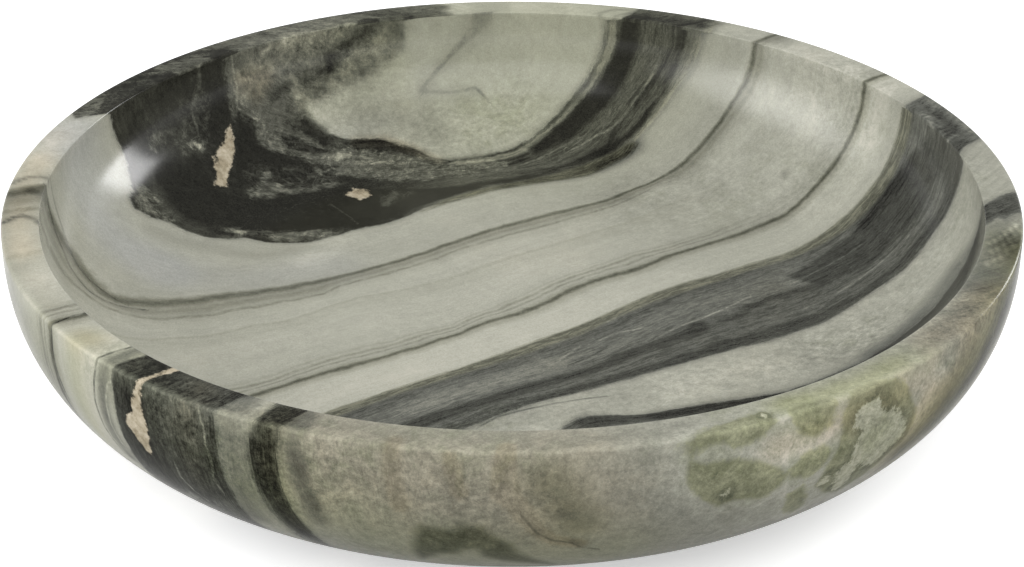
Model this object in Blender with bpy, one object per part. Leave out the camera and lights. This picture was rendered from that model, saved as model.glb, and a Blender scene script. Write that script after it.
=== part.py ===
"""Shallow round bowl, turned from one block of banded marble and standing on four felt pads.

Run it with: blender --background --python part.py
Lengths are metres and +Z is up. The pads' undersides lie on z = 0, and Z is the axis that the bowl was turned on.
"""

import math

import bmesh
import bpy

# The outside of the stone
bowl_radius = 0.175
stone_height = 0.0675
foot_radius = 0.125
lip_height = 0.0054
outer_arris_radius = 0.0012

# The basin
rim_width = 0.0128
floor_thickness = 0.0185
floor_radius = 0.104
floor_dish = 0.0008
basin_lip_height = 0.0015
inner_arris_radius = 0.0005

# How full the turned walls are: a power of 2 is an ellipse, and a larger one is nearer to a square corner
outer_wall_power = 2.25
basin_wall_power = 2.0
# The outer wall stops short of level, so it meets the ground foot at an edge, and the basin's wall doesn't
outer_wall_sweep = math.radians(70)
basin_wall_sweep = math.radians(90)

# The felt pads, stuck to the foot
pad_count = 4
pad_radius = 0.010
pad_thickness = 0.0025
pad_edge_bevel = 0.0004
pad_circle_radius = 0.100
first_pad_angle = math.radians(45)
glue_gap = 0.0003

# How finely the round forms are divided
turning_steps = 96
wall_steps = 16
arris_steps = 3
floor_steps = 5
pad_segments = 32
pad_bevel_segments = 2
merge_distance = 0.00001
sharp_angle = math.radians(35)

# Heights over the ground and radii that follow from the sizes above
foot_height = pad_thickness + glue_gap
rim_height = foot_height + stone_height
basin_radius = bowl_radius - rim_width
basin_bottom_height = foot_height + floor_thickness
floor_edge_height = basin_bottom_height + floor_dish


def clear_scene():
    for old in list(bpy.data.objects):
        bpy.data.objects.remove(old)


def make_material(name, color, roughness, metallic):
    material = bpy.data.materials.new(name)
    material.use_nodes = True
    shader = material.node_tree.nodes["Principled BSDF"]
    shader.inputs["Base Color"].default_value = (*color, 1.0)
    shader.inputs["Roughness"].default_value = roughness
    shader.inputs["Metallic"].default_value = metallic
    return material


def marble_material():
    return make_material("marble", (0.40, 0.40, 0.36), 0.25, 0.0)


def felt_material():
    return make_material("felt", (0.055, 0.055, 0.058), 0.95, 0.0)


def arc(centre_radius, centre_height, radius, start_angle, end_angle):
    """Points (radius, height) along a small round in the profile."""
    points = []
    for step in range(arris_steps + 1):
        angle = start_angle + (end_angle - start_angle) * step / arris_steps
        points.append(
            (centre_radius + radius * math.cos(angle), centre_height + radius * math.sin(angle))
        )
    return points


def turned_wall(top, bottom, power, sweep):
    """Points from a wall's upright top to its bottom, along a superellipse that spans the sweep."""

    def across(angle):
        return math.cos(angle) ** (2 / power)

    def down(angle):
        return math.sin(angle) ** (2 / power)

    width = (top[0] - bottom[0]) / (1 - across(sweep))
    drop = (top[1] - bottom[1]) / down(sweep)
    points = []
    for step in range(wall_steps + 1):
        angle = sweep * step / wall_steps
        points.append((top[0] - width * (1 - across(angle)), top[1] - drop * down(angle)))
    return points


def dished_floor():
    """Points from the bowl's axis to the edge of the floor, level at both ends."""
    points = []
    for step in range(floor_steps):
        share = step / floor_steps
        rise = floor_dish * (1 - math.cos(math.pi * share)) / 2
        points.append((floor_radius * share, basin_bottom_height + rise))
    return points


def basin_profile():
    """From the middle of the floor out to the wall and up it."""
    lip = (basin_radius, rim_height - basin_lip_height)
    floor_edge = (floor_radius, floor_edge_height)
    wall = turned_wall(lip, floor_edge, basin_wall_power, basin_wall_sweep)
    return dished_floor() + wall[::-1]


def rim_profile():
    """The flat land of the rim, between the crisp inner arris and the softer outer one."""
    inner = arc(
        basin_radius + inner_arris_radius,
        rim_height - inner_arris_radius,
        inner_arris_radius,
        math.pi,
        math.pi / 2,
    )
    outer = arc(
        bowl_radius - outer_arris_radius,
        rim_height - outer_arris_radius,
        outer_arris_radius,
        math.pi / 2,
        0,
    )
    return inner + outer


def outside_profile():
    """Down the upright lip and the full wall to the flat foot, and in to the axis."""
    lip = (bowl_radius, rim_height - lip_height)
    foot_edge = (foot_radius, foot_height)
    wall = turned_wall(lip, foot_edge, outer_wall_power, outer_wall_sweep)
    return wall + [(0, foot_height)]


def turn_about_axis(name, profile, material):
    """A solid of revolution about Z, from (radius, height) points that run down its outer side."""
    mesh = bpy.data.meshes.new(name)
    points = [(radius, 0, height) for radius, height in profile]
    edges = [(index, index + 1) for index in range(len(points) - 1)]
    mesh.from_pydata(points, edges, [])
    mesh.materials.append(material)
    solid = bpy.data.objects.new(name, mesh)
    bpy.context.scene.collection.objects.link(solid)

    turning = solid.modifiers.new("turning", "SCREW")
    turning.axis = "Z"
    turning.angle = 2 * math.pi
    turning.steps = turning_steps
    turning.render_steps = turning_steps
    turning.use_merge_vertices = True
    turning.merge_threshold = merge_distance
    turning.use_smooth_shade = True
    return solid


def make_bowl():
    profile = basin_profile() + rim_profile() + outside_profile()
    return turn_about_axis("marble_bowl", profile, marble_material())


def felt_disc_mesh():
    """A round disc standing on z = 0, with its cut edges slightly broken."""
    mesh = bpy.data.meshes.new("felt_disc")
    disc = bmesh.new()
    bmesh.ops.create_cone(
        disc,
        cap_ends=True,
        segments=pad_segments,
        radius1=pad_radius,
        radius2=pad_radius,
        depth=pad_thickness,
    )
    bmesh.ops.translate(disc, verts=disc.verts, vec=(0, 0, pad_thickness / 2))
    disc.to_mesh(mesh)
    disc.free()
    mesh.shade_smooth()
    mesh.set_sharp_from_angle(angle=sharp_angle)
    mesh.materials.append(felt_material())
    return mesh


def make_pads():
    """The pads share one mesh, and stand in a circle under the foot."""
    mesh = felt_disc_mesh()
    pads = []
    for number in range(pad_count):
        angle = first_pad_angle + 2 * math.pi * number / pad_count
        pad = bpy.data.objects.new(f"felt_pad_{number + 1}", mesh)
        pad.location = (pad_circle_radius * math.cos(angle), pad_circle_radius * math.sin(angle), 0)
        pad.rotation_euler = (0, 0, angle)
        bpy.context.scene.collection.objects.link(pad)
        broken_edge = pad.modifiers.new("broken_edge", "BEVEL")
        broken_edge.width = pad_edge_bevel
        broken_edge.segments = pad_bevel_segments
        broken_edge.limit_method = "ANGLE"
        broken_edge.angle_limit = sharp_angle
        pads.append(pad)
    return pads


def main():
    clear_scene()
    stand = bpy.data.objects.new("stand", None)
    bpy.context.scene.collection.objects.link(stand)
    for piece in [make_bowl(), *make_pads()]:
        piece.parent = stand


main()
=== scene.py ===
"""Looks of the round marble bowl: the turned stone, its layered pattern, its felt pads and a plain studio.

The pattern is cut upright through the block, so one drawing of it in plan serves the basin, the rim and the
outside. Plan drawing units are a quarter of a millimetre, from the upper left corner of the bowl's square:
x runs to the right and y towards the viewer. Wall chart points are (degrees from the front, millimetres down
from the outer arris). They lie under zero on the rim, and further under zero down the basin's wall.
"""

import math

import bpy
import numpy as np
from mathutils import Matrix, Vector


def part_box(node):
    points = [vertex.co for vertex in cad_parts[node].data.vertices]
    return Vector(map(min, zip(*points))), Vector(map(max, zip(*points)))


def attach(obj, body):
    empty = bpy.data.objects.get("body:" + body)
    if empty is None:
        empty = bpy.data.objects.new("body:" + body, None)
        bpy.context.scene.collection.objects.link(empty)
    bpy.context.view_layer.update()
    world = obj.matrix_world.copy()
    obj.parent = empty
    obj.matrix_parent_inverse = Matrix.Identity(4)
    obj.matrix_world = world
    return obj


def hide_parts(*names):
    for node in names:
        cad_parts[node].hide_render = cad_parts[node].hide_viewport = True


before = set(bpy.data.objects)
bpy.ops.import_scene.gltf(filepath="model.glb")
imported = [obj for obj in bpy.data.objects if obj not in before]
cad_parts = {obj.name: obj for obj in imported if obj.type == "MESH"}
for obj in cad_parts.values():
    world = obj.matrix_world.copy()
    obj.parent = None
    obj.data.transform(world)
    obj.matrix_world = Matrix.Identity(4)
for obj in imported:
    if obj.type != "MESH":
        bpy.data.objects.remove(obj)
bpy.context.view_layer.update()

# The bowl's sizes in metres, as the solid has them
bowl_low, bowl_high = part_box("marble_bowl")
bowl_radius = bowl_high.x
foot_height = bowl_low.z
rim_height = bowl_high.z
foot_radius = 0.125
lip_height = 0.0054
outer_arris_radius = 0.0012
rim_width = 0.0128
floor_thickness = 0.0185
floor_radius = 0.104
floor_dish = 0.0008
basin_lip_height = 0.0015
inner_arris_radius = 0.0005
outer_wall_power = 2.25
outer_wall_sweep = math.radians(70)
basin_radius = bowl_radius - rim_width
floor_edge_height = foot_height + floor_thickness + floor_dish

# How finely the stone is divided, which also sets how fine the pattern's outlines are
turning_steps = 640
ring_spacing = 0.0016
foot_ring_spacing = 0.018
arris_steps = 4
# How many points the curves have before they are spaced evenly
floor_points, basin_wall_points, outer_wall_points = 60, 200, 400

# Plan drawing: its scale, which way the layers run, and where the black pool ends and how softly
unit = 0.00025
middle = 700
layer_slope = (0.515, 0.857)
layer_smoothing = 2e-4
pool_right_end, pool_fade, pool_front_end = 620, 90, 600

# How far in metres outlines and threads are felt, and the angle past which the rim has its own chart
outline_reach = 0.010
thread_reach = 0.004
front_rim_end = math.radians(62)
far_away = 9.0
height_tolerance = 1e-5

# The material: how strongly the polish mirrors, and how far the noises swing
basin_gloss, outside_gloss = 0.36, 0.015
noise_gain = 3.2

# The studio: the floor's grey where it lights the bowl and where it is seen, and the window that mirrored
# rays find, as its direction and the share of each axis that counts in the distance from it
floor_for_light, floor_when_seen = (0.42,) * 3, (0.97,) * 3
window_direction, window_shares = (-0.84, -0.33, 0.42), (1.0, 0.45, 1.0)
floor_reach = 6

# The camera, fitted to the photo's two rim circles
view_elevation = math.radians(27.823)
view_distance = 5.4609 * bowl_radius
view_target_drop = 0.2109 * bowl_radius
film_width, focal_length = 36, 95.16

# Layers: each traced line, and further down its place across the layers
bulb_line = [(850, 68), (840, 75), (820, 95), (790, 118), (760, 140), (730, 165), (700, 192), (640, 210)]
pool_line = [
    (145, 500), (160, 495), (190, 485), (245, 490), (300, 475), (355, 485), (400, 480), (440, 455),
    (460, 440), (510, 420), (540, 395), (570, 365), (600, 345), (640, 320), (670, 300), (700, 288),
    (740, 275), (780, 265), (820, 255), (850, 235), (885, 212), (895, 190), (915, 170), (940, 150),
    (960, 135), (1000, 123),
]
vein_a = [
    (35, 715), (55, 700), (70, 712), (100, 725), (125, 742), (145, 740), (165, 730), (190, 715),
    (220, 695), (250, 680), (270, 668), (300, 660), (350, 645), (380, 635), (400, 622), (430, 608),
    (460, 592), (510, 560), (550, 535), (590, 505), (620, 482), (650, 460), (700, 428), (750, 398),
    (790, 378), (830, 355), (860, 335), (880, 315), (920, 290), (950, 270), (980, 245), (1000, 228),
    (1030, 205), (1050, 190), (1080, 178), (1105, 155), (1120, 145),
]
vein_a_lower = [
    (55, 760), (75, 770), (110, 772), (150, 765), (190, 752), (210, 742), (240, 722), (280, 712),
    (310, 697), (340, 688), (370, 672), (400, 660), (430, 645), (500, 592), (540, 567), (580, 540),
    (620, 505), (925, 295), (960, 285), (1000, 258), (1040, 220),
]
vein_a_faint = [(230, 790), (280, 770), (330, 745), (440, 682), (480, 655), (520, 640), (560, 620)]
vein_b_upper = [
    (100, 1065), (170, 1020), (335, 915), (370, 898), (400, 875), (450, 838), (490, 815), (540, 790),
    (580, 760), (620, 740), (650, 710), (680, 690), (700, 670), (730, 645), (765, 610), (850, 550),
    (890, 520), (930, 500), (1000, 455), (1035, 425), (1080, 400), (1120, 380),
]
vein_b = [
    (118, 1086), (200, 1035), (360, 930), (400, 903), (440, 878), (480, 855), (520, 830), (545, 812),
    (580, 792), (600, 775), (640, 745), (680, 715), (710, 700), (740, 675), (760, 655), (800, 615),
    (830, 595), (870, 575), (900, 552), (940, 520), (980, 495), (1020, 470), (1050, 450), (1080, 430),
    (1110, 415), (1140, 395), (1180, 365), (1210, 345), (1230, 330), (1255, 308), (1265, 302),
]
band_upper = [
    (209, 1199), (340, 1095), (470, 985), (500, 965), (550, 925), (590, 897), (620, 878), (660, 852),
    (700, 828), (740, 800), (770, 780), (800, 755), (830, 730), (860, 700), (900, 665), (950, 630),
    (1000, 600), (1050, 565), (1100, 538), (1140, 510), (1180, 490), (1230, 450), (1260, 430), (1285, 415),
    (1305, 388), (1350, 355),
]
band_lower = [
    (345, 1306), (480, 1165), (640, 1020), (720, 960), (740, 950), (780, 930), (830, 905), (870, 885),
    (900, 865), (940, 845), (980, 822), (1020, 802), (1060, 785), (1100, 757), (1140, 733), (1160, 715),
    (1190, 690), (1220, 670), (1260, 650), (1300, 620), (1340, 598), (1365, 562), (1380, 545),
]
third_line = [
    (404, 1334), (560, 1180), (770, 1020), (800, 993), (860, 988), (900, 980), (950, 962), (980, 950),
    (1020, 940), (1060, 928), (1100, 910), (1140, 885), (1180, 860), (1220, 830), (1260, 810), (1300, 780),
    (1330, 760), (1345, 745), (1370, 725), (1395, 712),
]
layers = [
    (-450, bulb_line), (-345, pool_line), (-236, vein_a), (-211, vein_a_lower), (-141, vein_a_faint),
    (-35, vein_b_upper), (-10, vein_b), (90, band_upper), (243, band_lower), (375, third_line),
]

# Dark layers and the patches in them, as closed outlines in plan
dark_outlines = [
    [
        (1030, 40), (1010, 90), (1000, 123), *pool_line[::-1], (135, 490), (140, 470), (133, 450),
        (122, 432), (105, 435), (60, 430), (60, 300), (150, 230), (240, 160), (330, 90), (450, 40),
        (530, 40), (521, 77), (507, 86), (482, 99), (463, 111), (446, 121), (429, 132), (412, 145),
        (397, 157), (382, 170), (375, 180), (378, 190), (392, 198), (412, 203), (440, 203), (470, 195),
        (500, 190), (545, 200), (557, 205), (567, 215), (583, 221), (607, 218), (640, 208), (667, 199),
        (687, 194), (707, 184), (727, 171), (740, 158), (760, 141), (773, 128), (787, 118), (807, 101),
        (833, 83), (847, 73), (890, 30), (930, -40), (1060, -40),
    ],
    [*band_upper, (1430, 300), (1450, 500), *band_lower[::-1], (290, 1400), (120, 1300)],
    [
        (765, 1025), (780, 1000), (800, 988), (860, 988), (905, 978), (955, 960), (980, 952), (1020, 942),
        (1070, 928), (1100, 912), (1140, 890), (1180, 868), (1220, 845), (1280, 805), (1330, 760),
        (1352, 728), (1395, 705), (1450, 680), (1450, 790), (1380, 800), (1335, 812), (1300, 840),
        (1250, 880), (1150, 925), (1050, 965), (950, 990), (860, 1010), (700, 1100), (560, 1210),
        (460, 1300), (430, 1290), (560, 1170),
    ],
]
black_outlines = [
    [
        (165, 400), (200, 330), (225, 340), (250, 375), (300, 375), (340, 358), (380, 335), (440, 310),
        (500, 305), (560, 300), (640, 285), (660, 290), (600, 330), (560, 360), (520, 395), (470, 430),
        (430, 440), (380, 440), (330, 455), (260, 450), (230, 475), (180, 470), (165, 440),
    ],
    [
        (275, 235), (300, 235), (303, 268), (350, 268), (385, 268), (400, 285), (370, 305), (345, 318),
        (325, 303), (305, 330), (290, 350), (275, 340), (275, 300),
    ],
    [(335, 236), (360, 228), (395, 232), (430, 225), (420, 236), (390, 246), (350, 250)],
    [(160, 330), (200, 270), (250, 225), (262, 250), (240, 300), (215, 320), (180, 360)],
    [
        (873, 77), (840, 97), (800, 123), (770, 148), (747, 170), (725, 187), (737, 198), (753, 192),
        (770, 178), (795, 170), (817, 150), (852, 127), (885, 101), (915, 68), (940, 35), (900, 30),
    ],
    [
        (940, 128), (907, 152), (890, 169), (857, 189), (823, 206), (773, 234), (727, 257), (673, 273),
        (640, 285), (660, 286), (700, 274), (747, 254), (800, 224), (850, 208), (892, 180), (925, 150),
    ],
    [
        (825, 845), (845, 820), (870, 805), (895, 790), (915, 775), (940, 755), (955, 730), (967, 725),
        (978, 732), (976, 752), (960, 768), (930, 785), (905, 800), (875, 822), (850, 842), (800, 880),
        (750, 905), (705, 935), (660, 965), (610, 1000), (560, 1035), (520, 1050), (560, 1005), (630, 960),
        (680, 930), (730, 898), (780, 872),
    ],
    [
        (975, 735), (1005, 712), (1035, 682), (1065, 655), (1105, 632), (1160, 600), (1160, 622),
        (1105, 648), (1065, 672), (1040, 694), (1008, 722),
    ],
    [
        (900, 848), (955, 812), (1005, 780), (1055, 752), (1105, 722), (1145, 700), (1185, 672),
        (1240, 635), (1300, 590), (1340, 575), (1310, 605), (1260, 640), (1200, 680), (1140, 728),
        (1090, 758), (1020, 797), (950, 838), (900, 862), (820, 905), (760, 935), (700, 965), (760, 925),
        (830, 885),
    ],
    [
        (1100, 590), (1150, 545), (1200, 508), (1238, 470), (1264, 455), (1290, 455), (1312, 480),
        (1314, 530), (1296, 550), (1262, 562), (1235, 588), (1190, 604), (1140, 622),
    ],
    [
        (1322, 515), (1342, 540), (1352, 580), (1345, 608), (1318, 628), (1285, 652), (1240, 676),
        (1245, 660), (1280, 632), (1308, 608), (1322, 588), (1326, 560),
    ],
    [(215, 1180), (290, 1225), (350, 1275), (365, 1290), (340, 1300), (270, 1255), (210, 1205)],
    [(800, 215), (825, 200), (850, 192), (858, 200), (850, 208), (825, 218), (800, 228)],
    [
        (1015, 100), (985, 108), (950, 128), (920, 150), (905, 165), (915, 150), (945, 122), (975, 104),
        (1005, 92),
    ],
    [
        (775, 1003), (800, 991), (860, 990), (905, 980), (955, 962), (1020, 944), (1070, 930), (1140, 892),
        (1220, 847), (1280, 807), (1330, 762), (1352, 732), (1395, 709), (1450, 690), (1450, 780),
        (1380, 790), (1330, 805), (1250, 872), (1150, 917), (1050, 957), (950, 982), (860, 1004),
        (800, 1022),
    ],
]
grey_outlines = [
    [
        (260, 215), (285, 205), (300, 225), (345, 208), (400, 225), (460, 215), (540, 215), (620, 225),
        (700, 215), (690, 240), (600, 262), (520, 278), (470, 285), (430, 265), (400, 262), (370, 258),
        (340, 262), (308, 262), (300, 235), (270, 232),
    ],
    [
        (303, 303), (320, 295), (333, 307), (323, 323), (343, 320), (353, 330), (337, 353), (323, 363),
        (307, 367), (303, 373), (297, 367), (307, 343), (317, 327), (307, 317),
    ],
    [
        (345, 340), (350, 330), (373, 322), (390, 312), (410, 302), (430, 292), (433, 300), (412, 313),
        (385, 327), (365, 340),
    ],
    [(373, 287), (383, 273), (403, 267), (457, 263), (450, 273), (410, 280), (390, 290)],
    [
        (513, 307), (537, 305), (540, 320), (525, 330), (515, 345), (510, 360), (500, 358), (500, 342),
        (510, 330),
    ],
    [
        (330, 457), (350, 453), (377, 443), (403, 440), (423, 450), (440, 455), (433, 466), (410, 475),
        (377, 480), (353, 482), (343, 470),
    ],
    [(263, 477), (290, 473), (303, 477), (283, 485), (267, 484)],
    [
        (140, 455), (153, 445), (170, 447), (175, 457), (160, 468), (190, 473), (200, 480), (177, 490),
        (150, 500),
    ],
    [(193, 327), (205, 320), (215, 308), (225, 312), (218, 328), (208, 343), (197, 345)],
    [(200, 300), (215, 270), (230, 262), (225, 285), (212, 303)],
    [(150, 380), (175, 350), (185, 340), (180, 355), (160, 385)],
    [
        (262, 244), (240, 200), (330, 90), (450, 40), (545, 40), (525, 85), (486, 106), (450, 128),
        (416, 152), (398, 168), (386, 184), (372, 200), (352, 215), (330, 245), (305, 262), (290, 250),
        (270, 250),
    ],
    [(197, 292), (203, 280), (212, 268), (219, 265), (214, 276), (206, 288), (200, 296)],
]
edge_outlines = [
    [
        (300, 1110), (470, 970), (550, 914), (620, 867), (700, 808), (800, 733), (850, 690), (900, 647),
        (950, 613), (1000, 586), (1050, 554), (1100, 525), (1150, 494), (1200, 463), (1250, 431),
        (1285, 404), (1350, 350), (1350, 380), (1290, 431), (1250, 461), (1200, 490), (1150, 515),
        (1100, 541), (1050, 572), (1000, 606), (950, 636), (900, 669), (850, 711), (800, 759), (700, 831),
        (620, 883), (550, 928), (470, 990), (300, 1135),
    ],
    [
        (560, 380), (600, 350), (640, 325), (670, 305), (700, 292), (740, 279), (780, 268), (820, 258),
        (850, 238), (885, 215), (899, 196), (882, 195), (850, 214), (800, 235), (760, 255), (720, 271),
        (700, 281), (670, 295), (640, 311), (600, 338),
    ],
]
web_outlines = [
    [
        (280, 300), (330, 285), (400, 262), (440, 255), (445, 290), (410, 310), (380, 335), (345, 350),
        (320, 375), (290, 370),
    ],
    [(185, 350), (192, 305), (212, 262), (240, 250), (240, 290), (228, 330), (203, 352)],
    [(495, 305), (548, 296), (548, 325), (525, 345), (508, 368), (495, 348)],
    [
        (255, 245), (280, 222), (352, 224), (480, 205), (560, 215), (700, 200), (700, 240), (560, 280),
        (470, 284), (330, 262),
    ],
    [(128, 452), (175, 438), (215, 468), (190, 492), (138, 502)],
    [(255, 448), (310, 443), (330, 438), (445, 436), (445, 468), (380, 482), (330, 470), (260, 472)],
]
pale_outlines = [
    [(260, 457), (277, 453), (297, 447), (307, 453), (297, 463), (277, 467), (260, 465)],
    [(410, 243), (427, 230), (440, 222), (450, 233), (423, 247)],
    [(467, 240), (487, 230), (517, 226), (527, 230), (507, 237), (477, 243)],
    [(197, 339), (203, 325), (210, 328), (208, 342), (201, 344)],
    [(221, 314), (230, 308), (229, 318), (222, 325)],
]
beige_outlines = [
    [
        (265, 265), (270, 277), (273, 290), (270, 310), (267, 327), (265, 347), (267, 362), (257, 367),
        (248, 372), (249, 353), (243, 337), (242, 323), (247, 327), (248, 313), (252, 297), (257, 287),
        (258, 277), (262, 268),
    ],
    [
        (442, 323), (447, 318), (453, 313), (455, 307), (463, 306), (473, 305), (480, 308), (480, 317),
        (484, 323), (478, 330), (470, 334), (464, 340), (462, 335), (453, 330), (445, 328),
    ],
]

# The same kinds on the wall chart
dark_on_wall = [
    [
        (-25.6, -14), (-21.8, -14), (-22.8, -3), (-23.3, 3), (-23.5, 12), (-23.4, 20), (-22.8, 30),
        (-21.9, 40), (-21, 50), (-23, 52), (-24.8, 42), (-26, 32), (-26.7, 20), (-26.8, 8), (-26, 0),
    ],
]
black_on_wall = [
    [
        (-44.5, -14), (-44.3, 0), (-45, 10), (-45.5, 30), (-44, 42), (-40, 46), (-37.5, 42), (-37, 25),
        (-36.6, 0), (-36, -1), (-31, -2), (-30, -14),
    ],
    [
        (-25.5, -14), (-22.2, -14), (-23.2, -4), (-24, 5), (-23.8, 20), (-22.8, 34), (-21.8, 46),
        (-23.4, 48), (-25, 34), (-26.3, 20), (-26.5, 6), (-25.8, 0),
    ],
    [(-36.8, 24), (-33, 22), (-32.6, 36), (-35.5, 44), (-37, 40)],
    [(-31.2, 2), (-30.5, 8), (-30.9, 14), (-30.6, 21), (-31.3, 19), (-31.5, 12), (-31.1, 7)],
]
grey_on_wall = [
    [(-36.3, 1), (-32.2, 0), (-32.2, 20), (-31.8, 40), (-33, 50), (-35.6, 46), (-36.3, 20)],
    [(-43.2, 1), (-41.6, 2), (-41.8, 6), (-43, 7)],
]
beige_on_wall = [
    [
        (-39.6, -14), (-38.6, -14), (-39.6, -6), (-39.9, 0), (-40.3, 5), (-40.1, 10), (-39.8, 15),
        (-40, 22), (-40.2, 27), (-41, 26), (-42, 22), (-43, 17), (-42.6, 13.5), (-41.6, 12), (-41.8, 7),
        (-41, 4), (-40.7, 0), (-40.2, -6),
    ],
]
green_on_wall = [
    [
        (17, 4), (19, 8), (22, 8), (25, 12), (27, 16), (28.5, 20), (28, 24), (26, 28), (23, 26), (21, 27),
        (19, 22), (17, 14),
    ],
    [(18.5, -3), (23, -6), (26, -7), (27, -5), (26.5, 0), (25, 4), (22, 5), (20.5, 2), (16, 5), (16, 1)],
    [(28.5, -4), (31, -5), (33.5, -3), (33.5, 5), (31.5, 9), (29.5, 7), (28.5, 2)],
    [(28.5, 19), (30, 14), (32.5, 13), (34, 16), (33.5, 20), (31.5, 24), (29, 23)],
    [(29.5, 31), (31, 28), (32.5, 35), (33, 42), (32, 46), (30, 40)],
    [
        (35, 2), (36, -2), (39, -2.5), (42, 0), (44, 6), (46, 16), (45.8, 26), (43, 33), (41, 38),
        (38, 42), (35, 38), (33, 30), (34.5, 15),
    ],
]
olive_on_wall = [
    [
        (-9.5, 30), (-9, 28), (-6, 29), (-5, 26), (-3, 27), (-2, 31), (0, 36), (0.5, 42), (2, 47), (4, 53),
        (5, 58), (2, 52), (-1, 49), (-3, 45), (-3.5, 39), (-5, 40), (-6, 44), (-8, 45), (-9, 50),
        (-10, 53), (-10.5, 45), (-10, 38),
    ],
]
cluster_on_wall = [
    [
        (36.5, 5), (38, 4), (39.3, 1.5), (40, 3), (40.2, 8), (42, 10), (43, 13), (44.5, 18), (45, 24),
        (42.5, 30), (41, 32), (39.5, 31), (38, 28), (36.8, 22), (37.5, 14), (36.4, 10),
    ],
    [(35.4, 26), (37, 25), (38.5, 29), (38.2, 37), (37.3, 40), (36, 38), (35.6, 33)],
    [(33.3, 29), (34, 27), (34.8, 29), (34.2, 31.5), (33.4, 31)],
    [(21, 22), (21.8, 20), (22.2, 21), (21.6, 23.5)],
    [(25.6, -5), (26.2, -6.2), (26.6, -4.6), (26, -4)],
]

# The rim's sides and back, on the same chart
dark_on_rim = [
    [
        (-171, -15), (-170, -9), (-171.5, -5), (-169, -1), (-166, 2), (-112, 2), (-111.5, -2),
        (-110.5, -5), (-112, -9), (-114, -15),
    ],
    [
        (80, -15), (81, -12), (82.5, -10), (82, -7), (83.5, -4), (84.5, 0), (87, 1), (89.3, -1.5),
        (89, -5), (87.5, -9), (85, -15),
    ],
    [
        (99.5, -15), (102, -10), (103.5, -5), (104.5, 0), (108, 2), (118, 2), (117.5, -4), (116.8, -9),
        (116.2, -15),
    ],
    [(150.8, -15), (151.5, -9), (151.3, -4), (153, -1.5), (163, -1.5), (163.3, -7), (164.5, -15)],
]
grey_on_rim = [
    [(-172, -15), (-140, -15), (-138.5, -10), (-137, -6), (-134.5, -3), (-134, 2), (-172, 2)],
    [(-134.5, -15), (-128.5, -15), (-127.5, -9), (-126.5, -5), (-128, -2), (-133, -3), (-135.5, -8)],
    [(-116, -8), (-110, -9), (-110, -2), (-114, 2), (-119, 1)],
    [(104.5, -9), (117, -10), (118, 2), (104, 2)],
    [(154.3, -9.5), (163, -10), (165, -8), (163, 0), (154, 0)],
]
black_on_rim = [
    [(-161.5, -15), (-157.3, -15), (-158, -11), (-159.5, -9), (-161, -10.5)],
    [(-139.3, -15), (-135.5, -15), (-136, -11), (-136.5, -8), (-138.3, -9)],
    [(-126.5, -15), (-114.5, -15), (-113.5, -10), (-116, -7), (-120, -4), (-125, -4), (-127, -8)],
    [(81, -15), (85.5, -15), (87, -10), (88.3, -6), (88.8, -2.5), (84.5, -2), (83, -6), (83.5, -10)],
    [(99.5, -15), (103.5, -15), (104.5, -10), (104, -6), (102.5, -9)],
]

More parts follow.
